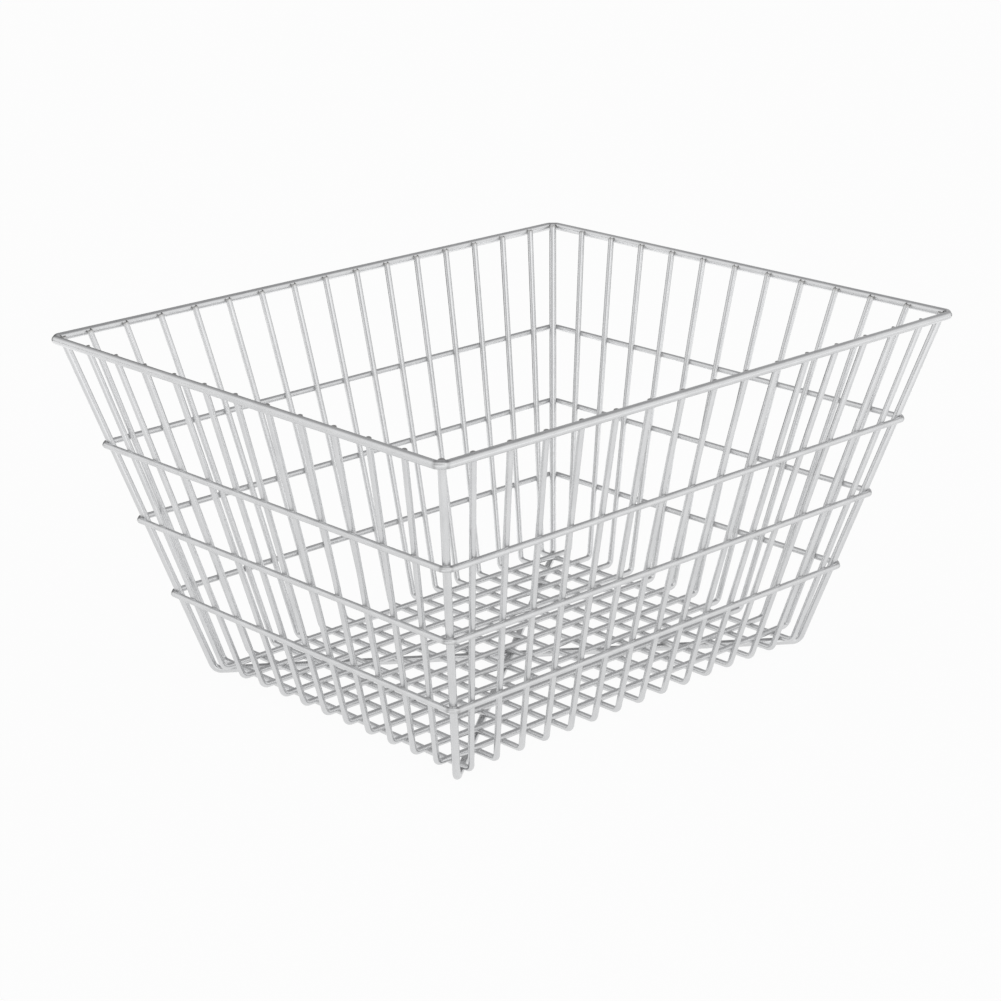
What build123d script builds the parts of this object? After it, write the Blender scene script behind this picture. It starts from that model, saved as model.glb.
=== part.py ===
from build123d import *
import os
from math import asin, atan, atan2, cos, hypot, sqrt, tan

# Wire locker basket: an open, tapered basket that is welded from 32 bent lengths of round steel wire.
# Millimetres, +Z up. The basket stands on Z = 0 and the origin is under the middle of its floor.
# X runs along the basket, Y across it. Every wire is round and is bent cold from one straight length.

# Wire diameters
rim_wire = 4.8
band_wire = 3.6
mesh_wire = 3.6
diagonal_wire = 4.5

# Outside of the rim, and the height from the ground to the top of the rim
rim_length = 408.6
rim_width = 341.4
basket_height = 211.0

# Floor, from wall to wall between wire centres, at the level of the long wires
floor_length = 289.4
floor_width = 222.0

# Height of each band's centre line above the ground
lower_band_height = 51.9
middle_band_height = 98.3
upper_band_height = 144.8

# Mesh: how many wires, and how far the outermost one stays from the corner of the walls
cross_wire_count = 15
cross_floor_margin = 11.0
cross_rim_margin = 21.2
long_wire_count = 11
long_floor_margin = 15.7
long_rim_margin = 27.8

# Bends and wire ends
floor_bend_radius = 6.0
ring_bend_radius = 3.2
diagonal_corner_inset = 1.4
wire_end_above_rim_centre = 1.2

# Resistance welds press two crossing wires into each other by this much, less a hair of play
weld_sink = 1.0
weld_play = 0.02

# Levels of the wire centre lines, from the ground up: the diagonals carry the cross wires,
# the cross wires carry the long wires, and each layer is pressed into the one below it.
diagonal_level = diagonal_wire / 2
cross_level = diagonal_level + (diagonal_wire + mesh_wire) / 2 - weld_sink
long_level = cross_level + mesh_wire - weld_sink
rim_level = basket_height - rim_wire / 2
wire_end_level = rim_level + wire_end_above_rim_centre


def wall_lean(rim_outside, floor_span):
    """Angle from upright of a wall whose wires start on the floor and are welded inside the rim."""
    outward = (rim_outside - rim_wire) / 2 - floor_span / 2
    upward = rim_level - long_level
    seat = (rim_wire + mesh_wire) / 2 - weld_sink
    return atan2(outward, upward) - asin(seat / hypot(outward, upward))


end_wall_lean = wall_lean(rim_length, floor_length)
side_wall_lean = wall_lean(rim_width, floor_width)
corner_lean = atan(hypot(tan(end_wall_lean), tan(side_wall_lean)))


def end_wall(z):
    """Distance from the middle to the wire centres of a short end wall, at height z."""
    return floor_length / 2 + (z - long_level) * tan(end_wall_lean)


def side_wall(z):
    """Distance from the middle to the wire centres of a long side wall, at height z."""
    return floor_width / 2 + (z - long_level) * tan(side_wall_lean)


def fanned(z, at_floor, at_rim):
    """Value at height z of a spread that widens evenly from the floor to the rim."""
    return at_floor + (at_rim - at_floor) * (z - long_level) / (rim_level - long_level)


def cross_point(share, side, z):
    """Point of a cross wire on a side wall. The share runs from -1 to 1 along the wall."""
    reach = fanned(z, end_wall(long_level) - cross_floor_margin, end_wall(rim_level) - cross_rim_margin)
    return Vector(share * reach, side * side_wall(z), z)


def long_point(share, side, z):
    """Point of a long wire on an end wall. The share runs from -1 to 1 along the wall."""
    reach = fanned(z, side_wall(long_level) - long_floor_margin, side_wall(rim_level) - long_rim_margin)
    return Vector(side * end_wall(z), share * reach, z)


def corner_point(end, side, z):
    """Point of a diagonal wire in the corner where an end wall meets a side wall."""
    return Vector(
        end * (end_wall(z) - diagonal_corner_inset), side * (side_wall(z) - diagonal_corner_inset), z
    )


def even_shares(count):
    """Evenly spaced shares from -1 to 1."""
    return [2 * index / (count - 1) - 1 for index in range(count)]


cross_shares = even_shares(cross_wire_count)
long_shares = even_shares(long_wire_count)


def wall_wires_at(z):
    """Each upright wire where it passes height z: its point, its direction and its diameter."""
    found = []
    for side in (-1, 1):
        for share in cross_shares:
            here = cross_point(share, side, z)
            found.append((here, cross_point(share, side, wire_end_level) - here, mesh_wire))
        for share in long_shares:
            here = long_point(share, side, z)
            found.append((here, long_point(share, side, wire_end_level) - here, mesh_wire))
        for end in (-1, 1):
            here = corner_point(end, side, z)
            found.append((here, corner_point(end, side, wire_end_level) - here, diagonal_wire))
    return found


def ring(level, wire):
    """Closed wire around the walls, with a seat for each upright that it is welded to.

    Each corner is bent twice, half of the turn each time, and is flat in between.
    """
    seat = (wire + mesh_wire) / 2 - weld_sink
    beyond_end = seat / cos(end_wall_lean)
    beyond_side = seat / cos(side_wall_lean)
    half_length = end_wall(level) + beyond_end
    half_width = side_wall(level) + beyond_side

    # The flat cuts off as much of the corner as puts the diagonal wire against its inside.
    corner_seat = ((wire + diagonal_wire) / 2 - weld_sink) / cos(corner_lean)
    corner_gap = hypot(beyond_end + diagonal_corner_inset, beyond_side + diagonal_corner_inset)
    cut_off = (corner_gap - corner_seat) * sqrt(2)
    end_side = half_width - cut_off
    long_side = half_length - cut_off

    with BuildPart() as closed_wire:
        with BuildLine(Plane.XY.offset(level)) as path:
            FilletPolyline(
                (half_length, end_side),
                (long_side, half_width),
                (-long_side, half_width),
                (-half_length, end_side),
                (-half_length, -end_side),
                (-long_side, -half_width),
                (long_side, -half_width),
                (half_length, -end_side),
                radius=ring_bend_radius,
                close=True,
            )
        with BuildSketch(Plane(origin=path.line @ 0, z_dir=path.line % 0)):
            Circle(wire / 2)
        sweep(path=path.wires()[0])

        for here, direction, upright in wall_wires_at(level):
            with BuildSketch(Plane(origin=here, z_dir=direction)):
                Circle(upright / 2 + weld_play)
        extrude(amount=wire, both=True, mode=Mode.SUBTRACT)
    return closed_wire.part


def bent_wire(corners, wire):
    """U-shaped wire: up one wall, along the floor and up the other wall, with two tangent bends."""
    with BuildPart() as u_wire:
        with BuildLine() as path:
            FilletPolyline(*corners, radius=floor_bend_radius)
        with BuildSketch(Plane(origin=path.line @ 0, z_dir=path.line % 0)):
            Circle(wire / 2)
        sweep(path=path.wires()[0])
    return u_wire.part


def long_wire(share):
    """Wire along the floor and up both end walls, on top of the cross wires."""
    corners = [long_point(share, -1, wire_end_level), long_point(share, -1, long_level)]
    corners += [long_point(share, 1, long_level), long_point(share, 1, wire_end_level)]
    return bent_wire(corners, mesh_wire)


def cross_wire(share):
    """Wire across the floor and up both side walls, with a seat under each long wire."""
    corners = [cross_point(share, -1, wire_end_level), cross_point(share, -1, cross_level)]
    corners += [cross_point(share, 1, cross_level), cross_point(share, 1, wire_end_level)]
    with BuildPart() as seated_wire:
        add(bent_wire(corners, mesh_wire))
        for long_share in long_shares:
            crossing = (corners[1].X, long_point(long_share, 1, long_level).Y, long_level)
            with BuildSketch(Plane(origin=crossing, z_dir=(1, 0, 0))):
                Circle(mesh_wire / 2 + weld_play)
        extrude(amount=mesh_wire, both=True, mode=Mode.SUBTRACT)
    return seated_wire.part


def diagonal_wire_from(side):
    """Wire under the floor from one corner to the opposite one and up both corners.

    It has a seat under each cross wire. In the middle the two diagonals are pressed flat into each
    other, half and half, so that both lie on the ground: the one that starts at the -Y corner
    keeps its upper half there, and the other one its lower half.
    """
    corners = [corner_point(-1, side, wire_end_level), corner_point(-1, side, diagonal_level)]
    corners += [corner_point(1, -side, diagonal_level), corner_point(1, -side, wire_end_level)]
    run = corners[2] - corners[1]
    other_run = Vector(run.X, -run.Y, run.Z)
    with BuildPart() as seated_wire:
        add(bent_wire(corners, diagonal_wire))
        for share in cross_shares:
            cross_x = cross_point(share, 1, cross_level).X
            crossing = (cross_x, cross_x * run.Y / run.X, cross_level)
            with BuildSketch(Plane(origin=crossing, z_dir=(0, 1, 0))):
                Circle(mesh_wire / 2 + weld_play)
        extrude(amount=diagonal_wire, both=True, mode=Mode.SUBTRACT)

        lap_depth = diagonal_wire / 2 + weld_play
        lap_width = diagonal_wire + 2 * weld_play
        lap_reach = 3 * diagonal_wire
        with BuildSketch(Plane(origin=(0, 0, diagonal_level), x_dir=other_run)):
            Rectangle(lap_reach, lap_width)
        extrude(amount=side * lap_depth, mode=Mode.SUBTRACT)
    return seated_wire.part


os.makedirs("parts", exist_ok=True)


def finish(piece, name):
    """Label a finished piece and write its file."""
    piece.label = name
    export_step(piece, f"parts/{name}.step")


finish(ring(rim_level, rim_wire), "rim_wire")
finish(ring(upper_band_height, band_wire), "upper_band_wire")
finish(ring(middle_band_height, band_wire), "middle_band_wire")
finish(ring(lower_band_height, band_wire), "lower_band_wire")

for index, share in enumerate(cross_shares, start=1):
    finish(cross_wire(share), f"cross_wire_{index:02d}")

for index, share in enumerate(long_shares, start=1):
    finish(long_wire(share), f"long_wire_{index:02d}")

finish(diagonal_wire_from(-1), "diagonal_wire_upper")
finish(diagonal_wire_from(1), "diagonal_wire_lower")
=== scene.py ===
import math
import random
from collections import namedtuple

import bpy
import numpy as np
from mathutils import Matrix, Vector


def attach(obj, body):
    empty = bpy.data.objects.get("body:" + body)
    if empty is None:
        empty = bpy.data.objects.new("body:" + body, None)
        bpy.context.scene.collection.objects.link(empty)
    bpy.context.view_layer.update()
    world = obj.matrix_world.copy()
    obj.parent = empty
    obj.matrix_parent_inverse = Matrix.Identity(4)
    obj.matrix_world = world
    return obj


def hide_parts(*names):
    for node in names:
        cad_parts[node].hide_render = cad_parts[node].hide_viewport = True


# Wire locker basket, dressed: every wire is drawn again as a fine tube with cut ends, the spot welds
# get their small fillets, and the steel gets its satin zinc plate. Metres, in the model's own frame.

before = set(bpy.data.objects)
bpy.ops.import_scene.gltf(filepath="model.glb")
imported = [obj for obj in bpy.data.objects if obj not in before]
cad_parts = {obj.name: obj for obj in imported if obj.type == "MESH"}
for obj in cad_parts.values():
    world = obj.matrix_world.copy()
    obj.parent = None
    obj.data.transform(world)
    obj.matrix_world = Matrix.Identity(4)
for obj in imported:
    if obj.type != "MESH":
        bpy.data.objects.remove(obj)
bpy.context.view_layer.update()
MM = 0.001

# Wire diameters
rim_wire = 4.8 * MM
band_wire = 3.6 * MM
mesh_wire = 3.6 * MM
diagonal_wire = 4.5 * MM

# Overall sizes and the levels of the bands
rim_length = 408.6 * MM
rim_width = 341.4 * MM
basket_height = 211.0 * MM
floor_length = 289.4 * MM
floor_width = 222.0 * MM
band_heights = {"upper_band": 144.8 * MM, "middle_band": 98.3 * MM, "lower_band": 51.9 * MM}

# Mesh: how many wires, and how far the outermost one stays from the corner of the walls
cross_wire_count = 15
cross_floor_margin = 11.0 * MM
cross_rim_margin = 21.2 * MM
long_wire_count = 11
long_floor_margin = 15.7 * MM
long_rim_margin = 27.8 * MM

# Bends, wire ends and welds
mesh_bend_radius = 4.0 * MM
diagonal_bend_radius = 6.0 * MM
ring_bend_radius = 2.8 * MM
diagonal_corner_inset = 1.4 * MM
wire_end_above_rim_centre = 1.0 * MM
weld_sink = 1.0 * MM

# Levels of the wire centre lines
diagonal_level = diagonal_wire / 2
cross_level = diagonal_level + (diagonal_wire + mesh_wire) / 2 - weld_sink
long_level = cross_level + mesh_wire - weld_sink
rim_level = basket_height - rim_wire / 2
wire_end_level = rim_level + wire_end_above_rim_centre

# Fineness of the drawn wires
sides_round = 18
straight_step = 3.0 * MM
bend_step = math.radians(9)

# Cut ends: the chamfer, and how the stain on the cut fades over a few chamfer depths
end_chamfer = 0.25 * MM
cut_stain_fade = ((1, 1.0), (3, 0.7), (7, 0.0))

# Weld fillets: their height, how much they differ, and how fine they are drawn
weld_fillet = 0.55 * MM
weld_size_spread = 0.15
weld_wave_height = 0.10
weld_wave_counts = (2, 3, 5)
weld_sides_round = 24
weld_rows = 6
weld_buried_share = 0.12
weld_hollow_share = 0.30
weld_reach_on_free_end = 0.9

# Marks on the plate: the duller zone round a weld, a band of painted shade across the middle of each
# ring's bend, and painted shade on the upper side of the wires under the mesh. This painted shade sets
# in where the surface faces up by the first share, and is full at the second.
weld_fade = 2.2 * MM
# Width of the band of painted shade across the middle of a ring's bend
bend_shade_width = 0.6 * MM
under_mesh_shade_starts = 0.45
under_mesh_shade_full = 0.75

# How far along its pattern a wire or a weld may start, in metres, so that no two look alike
pattern_start = 5.0


def wall_lean(rim_outside, floor_span):
    """Angle from upright of a wall that starts on the floor and is welded inside the rim."""
    outward = (rim_outside - rim_wire) / 2 - floor_span / 2
    upward = rim_level - long_level
    seat = (rim_wire + mesh_wire) / 2 - weld_sink
    return math.atan2(outward, upward) - math.asin(seat / math.hypot(outward, upward))


end_wall_lean = wall_lean(rim_length, floor_length)
side_wall_lean = wall_lean(rim_width, floor_width)
corner_lean = math.atan(math.hypot(math.tan(end_wall_lean), math.tan(side_wall_lean)))


def end_wall(z):
    """Distance from the middle to the wire centres of a short end wall, at height z."""
    return floor_length / 2 + (z - long_level) * math.tan(end_wall_lean)


def side_wall(z):
    """Distance from the middle to the wire centres of a long side wall, at height z."""
    return floor_width / 2 + (z - long_level) * math.tan(side_wall_lean)


def fanned(z, at_floor, at_rim):
    """Value at height z of a spread that widens evenly from the floor to the rim."""
    return at_floor + (at_rim - at_floor) * (z - long_level) / (rim_level - long_level)


def cross_point(share, side, z):
    """Point of a cross wire on a side wall. The share runs from -1 to 1 along the wall."""
    reach = fanned(z, end_wall(long_level) - cross_floor_margin, end_wall(rim_level) - cross_rim_margin)
    return Vector((share * reach, side * side_wall(z), z))


def long_point(share, side, z):
    """Point of a long wire on an end wall. The share runs from -1 to 1 along the wall."""
    reach = fanned(z, side_wall(long_level) - long_floor_margin, side_wall(rim_level) - long_rim_margin)
    return Vector((side * end_wall(z), share * reach, z))


def corner_point(end, side, z):
    """Point of a diagonal wire in the corner where an end wall meets a side wall."""
    along = end_wall(z) - diagonal_corner_inset
    across = side_wall(z) - diagonal_corner_inset
    return Vector((end * along, side * across, z))


def even_shares(count):
    """Evenly spaced shares from -1 to 1."""
    return [2 * index / (count - 1) - 1 for index in range(count)]


cross_shares = even_shares(cross_wire_count)
long_shares = even_shares(long_wire_count)


class Route:
    """Centre line of one wire: straight runs joined by tangent bends, as points and directions."""

    def __init__(self, corners, radius, closed=False):
        self.closed = closed
        self.points = []
        self.tangents = []
        self.bend_middles = []
        corners = [Vector(corner) for corner in corners]
        if closed:
            middle = (corners[-1] + corners[0]) / 2
            corners = [middle, *corners, middle]
        here = corners[0]
        for before, corner, after in zip(corners, corners[1:], corners[2:]):
            into = (corner - before).normalized()
            out = (after - corner).normalized()
            turn = into.angle(out)
            setback = radius * math.tan(turn / 2)
            start = corner - into * setback
            self.run(here, start)
            self.bend(start, into, out, turn, radius)
            here = corner + out * setback
        self.run(here, corners[-1])
        if not closed:
            self.points.append(corners[-1])
            self.tangents.append((corners[-1] - corners[-2]).normalized())

    def run(self, start, end):
        """Points of a straight run, without its last one."""
        count = max(1, round((end - start).length / straight_step))
        for index in range(count):
            self.points.append(start.lerp(end, index / count))
            self.tangents.append((end - start).normalized())

    def bend(self, start, into, out, turn, radius):
        """Points of a tangent bend, without its last one."""
        inward = (out - into * into.dot(out)).normalized()
        centre = start + inward * radius
        to_middle = into * math.sin(turn / 2) - inward * math.cos(turn / 2)
        self.bend_middles.append(centre + to_middle * radius)
        count = max(2, round(turn / bend_step))
        for index in range(count):
            angle = turn * index / count
            self.points.append(centre + (into * math.sin(angle) - inward * math.cos(angle)) * radius)
            self.tangents.append(into * math.cos(angle) + inward * math.sin(angle))


def ring_route(level, wire):
    """Closed wire round the walls at one level. Each corner is bent twice, with a flat between."""
    seat = (wire + mesh_wire) / 2 - weld_sink
    beyond_end = seat / math.cos(end_wall_lean)
    beyond_side = seat / math.cos(side_wall_lean)
    half_length = end_wall(level) + beyond_end
    half_width = side_wall(level) + beyond_side
    corner_seat = ((wire + diagonal_wire) / 2 - weld_sink) / math.cos(corner_lean)
    corner_gap = math.hypot(beyond_end + diagonal_corner_inset, beyond_side + diagonal_corner_inset)
    cut_off = (corner_gap - corner_seat) * math.sqrt(2)
    corners = []
    for end, side in ((1, 1), (-1, 1), (-1, -1), (1, -1)):
        on_end = (end * half_length, side * (half_width - cut_off), level)
        on_side = (end * (half_length - cut_off), side * half_width, level)
        corners += [on_end, on_side] if end == side else [on_side, on_end]
    return Route(corners, ring_bend_radius, closed=True)


def u_route(feet, tops, radius):
    """Open wire down one wall, along the floor and up the opposite wall."""
    return Route([tops[0], feet[0], feet[1], tops[1]], radius)


def cross_route(share):
    """Wire across the floor and up both side walls."""
    feet = [cross_point(share, side, cross_level) for side in (-1, 1)]
    tops = [cross_point(share, side, wire_end_level) for side in (-1, 1)]
    return u_route(feet, tops, mesh_bend_radius)


def long_route(share):
    """Wire along the floor and up both end walls."""
    feet = [long_point(share, side, long_level) for side in (-1, 1)]
    tops = [long_point(share, side, wire_end_level) for side in (-1, 1)]
    return u_route(feet, tops, mesh_bend_radius)


def diagonal_route(side):
    """Wire under the floor from one corner to the opposite one and up both corners."""
    feet = [corner_point(end, side * -end, diagonal_level) for end in (-1, 1)]
    tops = [corner_point(end, side * -end, wire_end_level) for end in (-1, 1)]
    return u_route(feet, tops, diagonal_bend_radius)


# A wire where it passes a weld: a point on its centre line, its direction and its diameter
Passing = namedtuple("Passing", "point along wire")


class Crossing:
    """Spot weld of two crossing wires. The upper one may have a free end a little beyond the weld."""

    halvings = 22
    nearly_across = 0.05

    def __init__(self, lower, upper, free_end=None):
        self.along_a = Vector(lower.along).normalized()
        self.along_b = Vector(upper.along).normalized()
        self.radius_a = lower.wire / 2
        self.radius_b = upper.wire / 2
        point_a = Vector(lower.point)
        point_b = Vector(upper.point)
        across = self.along_a.cross(self.along_b)
        gap = point_b - point_a
        on_a = point_a + self.along_a * (gap.cross(self.along_b).dot(across) / across.length_squared)
        on_b = point_b + self.along_b * (gap.cross(self.along_a).dot(across) / across.length_squared)
        self.normal = (on_b - on_a).normalized()
        self.sink = self.radius_a + self.radius_b - (on_b - on_a).length
        self.centre = on_a + self.normal * (self.radius_a - self.sink / 2)
        self.free_end = free_end

    def heights(self, outward, distance):
        """Heights of the two wires' surfaces over the contact plane, at a distance from the middle."""
        off_a = min(distance * outward.cross(self.along_a).length, self.radius_a)
        off_b = min(distance * outward.cross(self.along_b).length, self.radius_b)
        top_a = math.sqrt(self.radius_a**2 - off_a**2) - self.radius_a + self.sink / 2
        low_b = self.radius_b - self.sink / 2 - math.sqrt(self.radius_b**2 - off_b**2)
        return top_a, low_b

    def edge(self, outward, fillet):
        """Distance from the middle at which the two surfaces stand one fillet apart."""
        near = 0.0
        far = 2 * max(self.radius_a, self.radius_b)
        for _ in range(self.halvings):
            middle = (near + far) / 2
            top_a, low_b = self.heights(outward, middle)
            if low_b - top_a < fillet:
                near = middle
            else:
                far = middle
        reach = outward.dot(self.along_b)
        if self.free_end and reach > self.nearly_across:
            near = min(near, self.free_end / reach)
        return near


def ring_crossings(level, wire, route):
    """Spot welds between one closed wire and each upright that passes inside it."""
    found = []
    half_length = max(point.x for point in route.points)
    half_width = max(point.y for point in route.points)
    free_end = (wire_end_level - level) * weld_reach_on_free_end if level == rim_level else None

    def weld(upright, top, upright_wire, ring_point, tangent):
        ring = Passing(ring_point, tangent, wire)
        found.append(Crossing(ring, Passing(upright, top - upright, upright_wire), free_end))

    for side in (-1, 1):
        for share in cross_shares:
            upright = cross_point(share, side, level)
            top = cross_point(share, side, wire_end_level)
            weld(upright, top, mesh_wire, (upright.x, side * half_width, level), (1, 0, 0))
        for share in long_shares:
            upright = long_point(share, side, level)
            top = long_point(share, side, wire_end_level)
            weld(upright, top, mesh_wire, (side * half_length, upright.y, level), (0, 1, 0))
        for end in (-1, 1):
            upright = corner_point(end, side, level)
            top = corner_point(end, side, wire_end_level)
            outward = Vector((end, side, 0)).normalized()
            gap = ((wire + diagonal_wire) / 2 - weld_sink) / math.cos(corner_lean)
            weld(upright, top, diagonal_wire, upright + outward * gap, (-side, end, 0))
    return found


def floor_crossings():
    """Spot welds where the long wires lie on the cross wires."""
    found = []
    for cross_share in cross_shares:
        for long_share in long_shares:
            x = cross_point(cross_share, 1, cross_level).x
            y = long_point(long_share, 1, long_level).y
            lower = Passing((x, y, cross_level), (0, 1, 0), mesh_wire)
            upper = Passing((x, y, long_level), (1, 0, 0), mesh_wire)
            found.append(Crossing(lower, upper))
    return found


def diagonal_crossings(side):
    """Spot welds where the cross wires lie on one diagonal."""
    start = corner_point(-1, side, diagonal_level)
    run = corner_point(1, -side, diagonal_level) - start
    found = []
    for share in cross_shares:
        x = cross_point(share, 1, cross_level).x
        lower = Passing((x, x * run.y / run.x, diagonal_level), run, diagonal_wire)
        upper = Passing((x, 0, cross_level), (0, 1, 0), mesh_wire)
        found.append(Crossing(lower, upper))
    return found


ring_wires = {"rim": (rim_level, rim_wire)}
ring_wires.update({name: (level, band_wire) for name, level in band_heights.items()})
ring_routes = {name: ring_route(level, wire) for name, (level, wire) in ring_wires.items()}
welds = {name: ring_crossings(*ring_wires[name], route) for name, route in ring_routes.items()}
welds["floor"] = floor_crossings()
welds["diagonal"] = diagonal_crossings(-1) + diagonal_crossings(1)
weld_centres = np.array([weld.centre for group in welds.values() for weld in group])


def weld_nearness(points):
    """1 within one fade length of the nearest weld, falling towards 0 beyond it."""
    points_at_once = 4000
    shares = np.zeros(len(points))
    for start in range(0, len(points), points_at_once):
        block = points[start : start + points_at_once]
        squares = ((block[:, None, :] - weld_centres[None]) ** 2).sum(2).min(1)
        beyond = np.maximum(np.sqrt(squares) - weld_fade, 0)
        shares[start : start + points_at_once] = np.exp(-beyond / weld_fade)
    return shares


def add_piece(name, vertices, faces, flat_faces, wire_points, marks, material, replaced=()):
    """Mesh piece that rides on the basket, with the values that its finish reads on each point."""
    mesh = bpy.data.meshes.new(name)
    mesh.from_pydata([tuple(vertex) for vertex in vertices], [], faces)
    smooth = np.ones(len(faces), bool)
    smooth[list(flat_faces)] = False
    mesh.polygons.foreach_set("use_smooth", smooth)
    drawn = mesh.attributes.new("wire_point", "FLOAT_VECTOR", "POINT")
    drawn.data.foreach_set("vector", np.array(wire_points, np.float32).ravel())
    marks = {**marks, "weld_near": weld_nearness(np.array(vertices, float))}
    for label, shares in marks.items():
        mark = mesh.attributes.new(label, "FLOAT", "POINT")
        mark.data.foreach_set("value", np.array(shares, np.float32))
    mesh.materials.append(material)
    mesh.update()
    piece = bpy.data.objects.new(name, mesh)
    bpy.context.scene.collection.objects.link(piece)
    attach(piece, "root")
    if replaced:
        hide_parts(*replaced)
    return piece


# One ring of points round a wire: its middle, two directions across the wire, its radius, how far along
# the wire it lies, and how strongly the stain of a cut end shows on it
Section = namedtuple("Section", "point out up radius along cut")


def cut_end(section, outward):
    """Sections at a cut end, from the face inwards: the face's edge, the chamfer, and a fading stain."""
    made = [section._replace(radius=section.radius - end_chamfer, cut=1.0)]
    for chamfers_deep, cut in cut_stain_fade:
        inside = section.point - outward * (chamfers_deep * end_chamfer)
        made.append(section._replace(point=inside, cut=cut))
    return made


def wire_sections(route, radius):
    """Sections along a route, turned as little as can be from one to the next."""
    side_way = route.tangents[0].orthogonal().normalized()
    sections = []
    travelled = 0.0
    previous = route.points[0]
    for point, tangent in zip(route.points, route.tangents):
        travelled += (point - previous).length
        previous = point
        side_way = (side_way - tangent * side_way.dot(tangent)).normalized()
        sections.append(Section(point, side_way.copy(), tangent.cross(side_way), radius, travelled, 0.0))
    if route.closed:
        return sections
    first_end = cut_end(sections[0], -route.tangents[0])
    last_end = cut_end(sections[-1], route.tangents[-1])
    return [*first_end, *sections[1:-1], *reversed(last_end)]


def tube_faces(count, closed):
    """Faces of a tube of so many sections, and which of them stay flat shaded at the cut ends."""
    faces = []
    steps = count if closed else count - 1
    for step in range(steps):
        here = step * sides_round
        there = (step + 1) % count * sides_round
        for index in range(sides_round):
            beside = (index + 1) % sides_round
            faces.append((here + index, here + beside, there + beside, there + index))
    if closed:
        return faces, []
    last = (count - 1) * sides_round
    faces.append(tuple(reversed(range(sides_round))))
    faces.append(tuple(range(last, last + sides_round)))
    first_chamfer = range(sides_round)
    last_chamfer_and_ends = range((steps - 1) * sides_round, len(faces))
    return faces, [*first_chamfer, *last_chamfer_and_ends]


def bend_shade_share(point, route):
    """Share of painted shade at a ring's bend: 1 in its middle, falling to 0 within about a millimetre."""
    if not route.closed:
        return 0.0
    apart = min((point - middle).length for middle in route.bend_middles)
    return math.exp(-((apart / bend_shade_width) ** 2))


def under_mesh_shade_share(point, facing_up):
    """Share of painted shade: 1 on the upper side of a wire that runs under the mesh, 0 on its lower side
    and on other wires.
    """
    if point.z >= cross_level - weld_sink:
        return 0.0
    return min(max((facing_up - under_mesh_shade_starts) / (under_mesh_shade_full - under_mesh_shade_starts), 0), 1)


def wire_piece(name, route, wire, material, replaced, seed):
    """Round wire along a route. Open wires get flat, slightly chamfered cut ends."""
    draw = random.Random(seed)
    start = draw.uniform(0, pattern_start)
    sections = wire_sections(route, wire / 2)
    vertices = []
    wire_points = []
    marks = {"cut_end": [], "painted_bend_shade": [], "painted_under_mesh_shade": []}
    for section in sections:
        marks["cut_end"] += [section.cut] * sides_round
        marks["painted_bend_shade"] += [bend_shade_share(section.point, route)] * sides_round
        for index in range(sides_round):
            angle = math.tau * index / sides_round
            along_out = section.radius * math.cos(angle)
            along_up = section.radius * math.sin(angle)
            facing_up = (section.out.z * along_out + section.up.z * along_up) / section.radius
            vertices.append(section.point + section.out * along_out + section.up * along_up)
            wire_points.append((along_out, along_up, section.along + start))
            marks["painted_under_mesh_shade"].append(under_mesh_shade_share(section.point, facing_up))
    faces, flat_faces = tube_faces(len(sections), route.closed)
    return add_piece(name, vertices, faces, flat_faces, wire_points, marks, material, replaced)


def weld_piece(name, crossings, material, seed):
    """All the small fillets of steel in one group of spot welds, each a little uneven all round."""
    draw = random.Random(seed)
    vertices = []
    faces = []
    wire_points = []
    for weld in crossings:
        size = weld_fillet * draw.uniform(1 - weld_size_spread, 1 + weld_size_spread)
        waves = []
        for count in weld_wave_counts:
            waves.append((draw.uniform(0, weld_wave_height), draw.uniform(0, math.tau), count))
        pattern_shift = draw.uniform(0, pattern_start)
        first = len(vertices)
        ahead = weld.along_b
        aside = weld.normal.cross(ahead)
        for turn in range(weld_sides_round):
            angle = math.tau * turn / weld_sides_round
            outward = ahead * math.cos(angle) + aside * math.sin(angle)
            uneven = sum(high * math.sin(count * angle + phase) for high, phase, count in waves)
            fillet = size * (1 + uneven)
            distance = weld.edge(outward, fillet)
            top_a, low_b = weld.heights(outward, distance)
            buried = weld_buried_share * fillet
            for row in range(weld_rows):
                share = row / (weld_rows - 1)
                height = (top_a - buried) + (low_b - top_a + 2 * buried) * share
                hollow = weld_hollow_share * fillet * 4 * share * (1 - share)
                place = weld.centre + outward * (distance - hollow) + weld.normal * height
                from_centre = place - weld.centre
                vertices.append(place)
                wire_points.append((from_centre.x, from_centre.y, from_centre.z + pattern_shift))
        for turn in range(weld_sides_round):
            here = first + turn * weld_rows
            there = first + (turn + 1) % weld_sides_round * weld_rows
            for row in range(weld_rows - 1):
                faces.append((here + row, there + row, there + row + 1, here + row + 1))
        lower_edge = range(first, first + weld_sides_round * weld_rows, weld_rows)
        faces.append(tuple(reversed(lower_edge)))
        faces.append(tuple(corner + weld_rows - 1 for corner in lower_edge))
    marks = {"weld_seam": [1.0] * len(vertices)}
    return add_piece(name, vertices, faces, [], wire_points, marks, material)


class Socket:
    """Output socket of a shader node, with arithmetic that adds the nodes for it."""

    def __init__(self, tree, socket):
        self.tree = tree
        self.socket = socket

    def maths(self, operation, first, second):
        """One step of arithmetic on two values."""
        return self.tree.node("ShaderNodeMath", {"operation": operation}, {0: first, 1: second})

    def __add__(self, other):
        return self.maths("ADD", self, other)

    __radd__ = __add__

    def __mul__(self, other):
        return self.maths("MULTIPLY", self, other)

    __rmul__ = __mul__

    def __sub__(self, other):
        return self.maths("SUBTRACT", self, other)

    def __rsub__(self, other):
        return self.maths("SUBTRACT", other, self)

    def or_more(self, other):
        """The larger of two values."""
        return self.maths("MAXIMUM", self, other)


# Zone of the studio: the side that it lies toward, where it sets in and where it is full, its tone, how
# strongly it covers what is there, and the wider zone that it stays within, if any
Zone = namedtuple("Zone", "side starts full tone cover within", defaults=(1, None))


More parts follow.
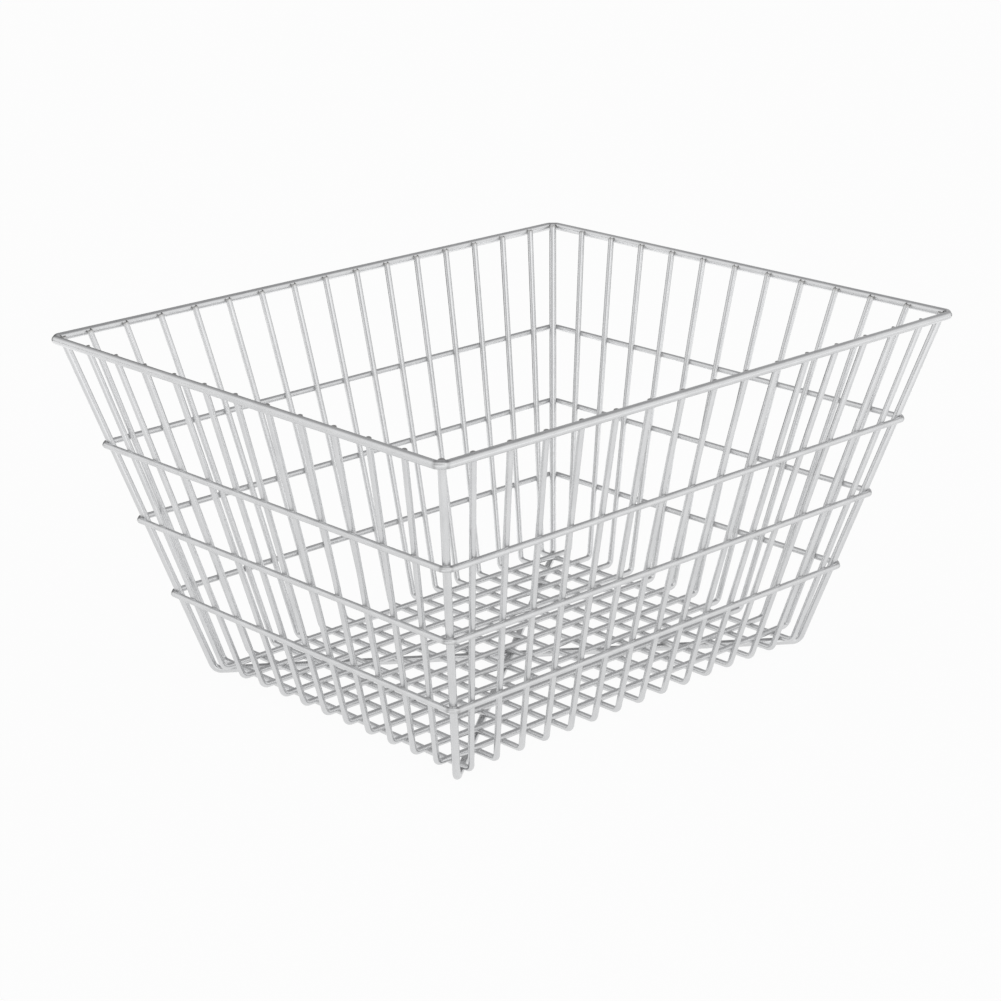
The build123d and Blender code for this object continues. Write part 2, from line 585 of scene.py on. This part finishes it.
class Finish:
    """Shader tree of a material or a world, with one method for every kind of node."""

    def __init__(self, owner):
        owner.use_nodes = True
        self.nodes = owner.node_tree.nodes
        self.links = owner.node_tree.links
        self.nodes.clear()

    def node(self, kind, settings=None, values=None, output=0):
        """New node, with its settings made first and its sockets filled or linked."""
        made = self.nodes.new(kind)
        for key, value in (settings or {}).items():
            setattr(made, key, value)
        for key, value in (values or {}).items():
            if isinstance(value, Socket):
                self.links.new(value.socket, made.inputs[key])
            else:
                made.inputs[key].default_value = value
        return Socket(self, made.outputs[output]) if made.outputs else None

    def mark(self, name):
        """Value of a mark that the mesh carries, 0 where it carries none."""
        return self.node("ShaderNodeAttribute", {"attribute_name": name}, output="Fac")

    def ray(self, kind):
        """1 for one kind of ray, 0 for the others."""
        return self.node("ShaderNodeLightPath", output=f"Is {kind} Ray")

    def seen(self):
        """1 for what the camera sees, straight, in a mirror or through glass."""
        return self.ray("Camera").or_more(self.ray("Glossy")).or_more(self.ray("Transmission"))

    def moved(self, vector, step):
        """A vector moved by another one."""
        return self.node("ShaderNodeVectorMath", {"operation": "ADD"}, {0: vector, 1: step})

    def drawn_out(self, vector, share):
        """A vector whose pattern is drawn out along the wire, to a share of its marks there."""
        return self.node("ShaderNodeVectorMath", {"operation": "MULTIPLY"}, {0: vector, 1: (1, 1, share)})

    def noise(self, vector, scale, detail=2.0, roughness=0.5):
        """Soft random pattern from 0 to 1, with so many marks to the metre."""
        values = {"Vector": vector, "Scale": scale, "Detail": detail, "Roughness": roughness}
        return self.node("ShaderNodeTexNoise", {}, values, output="Fac")

    def between(self, value, low, high):
        """0 below low, 1 above high, and smooth between them."""
        settings = {"clamp": True, "interpolation_type": "SMOOTHSTEP"}
        return self.node("ShaderNodeMapRange", settings, {"Value": value, "From Min": low, "From Max": high})

    def toward(self, vector, direction):
        """How far a vector reaches in one direction."""
        vectors = {0: vector, 1: direction}
        return self.node("ShaderNodeVectorMath", {"operation": "DOT_PRODUCT"}, vectors, output="Value")

    def mixed(self, share, low, high):
        """Colour between two colours."""
        settings = {"data_type": "RGBA", "clamp_factor": True}
        return self.node("ShaderNodeMix", settings, {0: share, 6: low, 7: high}, output=2)

    def zone_share(self, place, zone):
        """How much a zone of the studio covers at a place or in a direction."""
        share = self.between(self.toward(place, zone.side), zone.starts, zone.full) * zone.cover
        return share * self.zone_share(place, zone.within) if zone.within else share

    def studio(self, place, tone, zones):
        """Tone of the studio at a place or in a direction. Each zone covers the ones before it."""
        for zone in zones:
            tone = self.mixed(self.zone_share(place, zone), tone, zone.tone)
        return tone

    def white_to_camera(self, mirrored):
        """White, apart from what a mirror shows, which has a tone of its own."""
        return self.mixed(self.ray("Glossy"), grey(1), mirrored)


def grey(level):
    """Neutral colour of one level."""
    return (level, level, level, 1)


# Zinc plate: its brighter and duller tones, and the tones of what marks it
bright_zinc = (0.81, 0.815, 0.82, 1)
dull_zinc = (0.67, 0.675, 0.685, 1)
haze_tone = (0.52, 0.515, 0.505, 1)
pit_tone = (0.36, 0.355, 0.35, 1)
seam_tone = (0.30, 0.295, 0.29, 1)
# Painted shade on the upper side of the wires under the mesh
under_mesh_shade_tone = grey(0.32)
# Painted shade across the middles of the rings' bends
bend_shade_tone = (0.36, 0.36, 0.365, 1)
cut_tone = (0.38, 0.37, 0.35, 1)

# How strongly each mark covers the plate
haze_cover = 0.25
pit_cover = 0.35
seam_cover = 0.65
# How strongly the painted shade under the mesh covers the plate
under_mesh_shade_cover = 0.45
# How strongly the painted shade at the bends covers the plate
bend_shade_cover = 0.6
cut_cover = 0.55

# Patterns of the plate, in marks to the metre, and the share of those marks that is left along the
# wire where a pattern is drawn out
draw_line_marks = 5200
broad_line_marks = 1500
mottle_marks = 420
cloud_marks = 38
pit_marks = 2600
haze_marks = 900
draw_line_drawn = 0.02
broad_line_drawn = 0.03
mottle_drawn = 0.35

# Pits and haze show where their pattern passes from the first level to the second
pit_levels = (0.66, 0.74)
haze_levels = (0.25, 0.75)

# How far apart along their pattern the four plates start, in metres
plate_step = 3.7

# How much each pattern changes the tone, the roughness and the relief of the plate
mottle_in_tone = 0.9
cloud_in_tone = 0.8
lines_in_tone = 0.5
plain_roughness = 0.26
mottle_roughness = 0.20
line_roughness = 0.12
haze_roughness = 0.14
cut_roughness = 0.12
line_relief = 0.5
mottle_relief = 0.35
pit_relief = 0.6
haze_relief = 0.5
relief_strength = 0.25
relief_depth = 0.02 * MM


def zinc_plate(name, number):
    """Satin zinc plate on drawn wire: draw lines along it, a soft mottle and small pits.

    It is duller round the welds, and darker in the welds' seams and on the cut ends. Painted shade
    darkens the upper side of the wires under the mesh and the middles of the rings' bends.
    """
    material = bpy.data.materials.new(name)
    tree = Finish(material)
    on_wire = tree.node("ShaderNodeAttribute", {"attribute_name": "wire_point"}, output="Vector")
    place = tree.moved(on_wire, (0, 0, plate_step * number))
    cut = tree.mark("cut_end")
    drawn = tree.drawn_out(place, draw_line_drawn)
    draw_lines = tree.noise(drawn, draw_line_marks, detail=3.0, roughness=0.6)
    broad_lines = tree.noise(tree.drawn_out(place, broad_line_drawn), broad_line_marks)
    drawn = tree.drawn_out(place, mottle_drawn)
    mottle = tree.noise(drawn, mottle_marks, detail=3.0, roughness=0.55)
    cloud = tree.noise(place, cloud_marks)
    pits = tree.between(tree.noise(place, pit_marks), *pit_levels)
    patches = tree.between(tree.noise(place, haze_marks, roughness=0.6), *haze_levels)
    haze = tree.mark("weld_near") * patches

    uneven = (mottle - 0.5) * mottle_in_tone + (cloud - 0.5) * cloud_in_tone
    tone = 0.5 + uneven + (broad_lines - 0.5) * lines_in_tone
    colour = tree.mixed(tone, dull_zinc, bright_zinc)
    colour = tree.mixed(haze * haze_cover, colour, haze_tone)
    colour = tree.mixed(pits * pit_cover, colour, pit_tone)
    colour = tree.mixed(tree.mark("weld_seam") * seam_cover, colour, seam_tone)
    # Painted shade on the upper side of the wires under the mesh
    colour = tree.mixed(tree.mark("painted_under_mesh_shade") * under_mesh_shade_cover, colour, under_mesh_shade_tone)
    # Painted shade across the middles of the rings' bends
    colour = tree.mixed(tree.mark("painted_bend_shade") * bend_shade_cover, colour, bend_shade_tone)
    colour = tree.mixed(cut * cut_cover, colour, cut_tone)

    worn = (mottle - 0.5) * mottle_roughness + (draw_lines - 0.5) * line_roughness
    roughness = plain_roughness + worn + haze * haze_roughness + cut * cut_roughness

    height = (draw_lines + broad_lines) * line_relief + mottle * mottle_relief
    height = height - pits * pit_relief + haze * haze_relief
    relief = {"Strength": relief_strength, "Distance": relief_depth, "Height": height}
    bump = tree.node("ShaderNodeBump", {}, relief)
    values = {"Base Color": colour, "Metallic": 1.0, "Roughness": roughness, "Normal": bump}
    shader = tree.node("ShaderNodeBsdfPrincipled", {}, values)
    tree.node("ShaderNodeOutputMaterial", {}, {"Surface": shader})
    return material


rim_plate = zinc_plate("rim_zinc", 1)
band_plate = zinc_plate("band_zinc", 2)
mesh_plate = zinc_plate("mesh_zinc", 3)
diagonal_plate = zinc_plate("diagonal_zinc", 4)

# Random seeds: the rings take the first ones, the other wires count on from theirs
cross_seed = 20
long_seed = 40
diagonal_seed = 60
floor_weld_seed = 71
diagonal_weld_seed = 72

for seed, (ring_name, (_, ring_size)) in enumerate(ring_wires.items(), start=1):
    plate = rim_plate if ring_name == "rim" else band_plate
    slot = "rim_steel" if ring_name == "rim" else "band_steel"
    wire_piece(ring_name, ring_routes[ring_name], ring_size, plate, [f"{ring_name}_wire"], seed)
    weld_piece(f"{ring_name}_welds", welds[ring_name], plate, seed)

for index, share in enumerate(cross_shares, start=1):
    name = f"cross_{index:02d}"
    node = f"cross_wire_{index:02d}"
    wire_piece(name, cross_route(share), mesh_wire, mesh_plate, [node], cross_seed + index)

for index, share in enumerate(long_shares, start=1):
    name = f"long_{index:02d}"
    node = f"long_wire_{index:02d}"
    wire_piece(name, long_route(share), mesh_wire, mesh_plate, [node], long_seed + index)

for level_name, side in (("upper", -1), ("lower", 1)):
    name = f"diagonal_{level_name}"
    node = f"diagonal_wire_{level_name}"
    seed = diagonal_seed + side
    wire_piece(name, diagonal_route(side), diagonal_wire, diagonal_plate, [node], seed)

weld_piece("floor_mesh_welds", welds["floor"], mesh_plate, floor_weld_seed)
weld_piece("diagonal_welds", welds["diagonal"], diagonal_plate, diagonal_weld_seed)


# Directions in the studio, from the basket. The photograph's camera stands in front of it.
overhead = Vector((0.23, 0.15, 0.96)).normalized()
behind = Vector((0.66, 0.74, 0.05)).normalized()
back_left = Vector((0.34, 0.94, 0.03)).normalized()
left = Vector((-0.64, 0.77, 0)).normalized()
front_left = Vector((-0.88, -0.41, 0.21)).normalized()
front_right = Vector((-0.30, -0.95, 0)).normalized()

# Floor as the steel mirrors it: each zone lies toward one side and sets in between two distances from
# the middle. This is painted light and shade that only the steel mirrors: a painted glow, brighter than
# white, in front and just behind the basket, and painted dark far behind it, most of all on the left.
floor_tone = grey(0.91)
painted_dark_far_floor = Zone(behind, starts=0.30, full=0.65, tone=grey(0.44))
painted_floor_light_zones = [
    Zone(front_right, starts=0.15, full=0.90, tone=grey(1.25)),
    Zone(behind, starts=0.11, full=0.26, tone=grey(1.30)),
    painted_dark_far_floor,
    Zone(left, starts=0.08, full=0.45, tone=grey(0.12), within=painted_dark_far_floor),
]
floor_reach = 6.0
floor_whiteness = 0.95
paper_tone = grey(0.86)

# Walls and ceiling as the steel mirrors them: each zone sets in between two cosines of the angle from
# its middle. They are dim overhead and behind the basket, and darkest low at the back left.
sky_tone = grey(0.95)
sky_zones = [
    Zone(overhead, starts=0.52, full=0.95, tone=(0.32, 0.32, 0.325, 1)),
    Zone(behind, starts=0.36, full=0.90, tone=(0.37, 0.37, 0.375, 1), cover=0.75),
    Zone(back_left, starts=0.86, full=0.97, tone=grey(0.12)),
    Zone(front_left, starts=0.80, full=0.96, tone=grey(0.62)),
]

# Key softbox, and the camera of the photograph
key_place = (-0.9, -2.5, 1.2)
key_size = 2.4
key_power = 6
camera_place = (-1.0069, -1.0775, 0.6061)
camera_heading = math.radians(42.885)
camera_dip = math.radians(18.893)
camera_roll = math.radians(-0.756)
camera_lens = 94.075


def make_floor():
    """Pale paper floor that shows white to the camera and keeps a trace of the basket's shadow. The steel
    mirrors it with painted light and shade.
    """
    mesh = bpy.data.meshes.new("floor")
    corners = [(floor_reach * x, floor_reach * y, 0) for x, y in ((-1, -1), (1, -1), (1, 1), (-1, 1))]
    mesh.from_pydata(corners, [], [(0, 1, 2, 3)])
    floor = bpy.data.objects.new("floor", mesh)
    bpy.context.scene.collection.objects.link(floor)
    material = bpy.data.materials.new("floor_paper")
    tree = Finish(material)
    paper = tree.node("ShaderNodeBsdfDiffuse", {}, {"Color": paper_tone})
    place = tree.node("ShaderNodeNewGeometry", output="Position")
    # Painted light and shade on the floor, seen only in the steel's reflections
    tone = tree.white_to_camera(tree.studio(place, floor_tone, painted_floor_light_zones))
    white = tree.node("ShaderNodeEmission", {}, {"Color": tone, "Strength": 1.0})
    shown = tree.node("ShaderNodeMixShader", {}, {0: tree.seen() * floor_whiteness, 1: paper, 2: white})
    tree.node("ShaderNodeOutputMaterial", {}, {"Surface": shown})
    mesh.materials.append(material)


def make_world():
    """White all round for the camera. The steel mirrors a pale studio with dimmer zones."""
    world = bpy.data.worlds.new("studio")
    bpy.context.scene.world = world
    tree = Finish(world)
    way = tree.node("ShaderNodeTexCoord", output="Generated")
    sky = tree.studio(way, sky_tone, sky_zones)
    light = tree.node("ShaderNodeBackground", {}, {"Color": sky, "Strength": 1.0})
    white = tree.node("ShaderNodeBackground", {}, {"Color": tree.white_to_camera(sky), "Strength": 1.0})
    shown = tree.node("ShaderNodeMixShader", {}, {0: tree.seen(), 1: light, 2: white})
    tree.node("ShaderNodeOutputWorld", {}, {"Surface": shown})


def make_softbox(name, place, target, size, power):
    """Square soft lamp that faces the target."""
    lamp = bpy.data.lights.new(name, "AREA")
    lamp.size = size
    lamp.energy = power
    holder = bpy.data.objects.new(name, lamp)
    holder.location = place
    holder.rotation_euler = (Vector(target) - Vector(place)).to_track_quat("-Z", "Y").to_euler()
    bpy.context.scene.collection.objects.link(holder)


def make_camera():
    """Camera at the photograph's viewing angle, a little over 1.5 m from the basket."""
    camera = bpy.data.cameras.new("camera")
    camera.sensor_width = 36.0
    camera.lens = camera_lens
    holder = bpy.data.objects.new("camera", camera)
    turned = Matrix.Rotation(-camera_heading, 4, "Z") @ Matrix.Rotation(math.pi / 2 - camera_dip, 4, "X")
    holder.matrix_world = Matrix.Translation(camera_place) @ turned @ Matrix.Rotation(camera_roll, 4, "Z")
    bpy.context.scene.collection.objects.link(holder)
    bpy.context.scene.camera = holder


make_floor()
make_world()
make_softbox("key", key_place, (0, 0, basket_height / 2), key_size, key_power)
make_camera()
bpy.context.scene.view_settings.view_transform = "Standard"
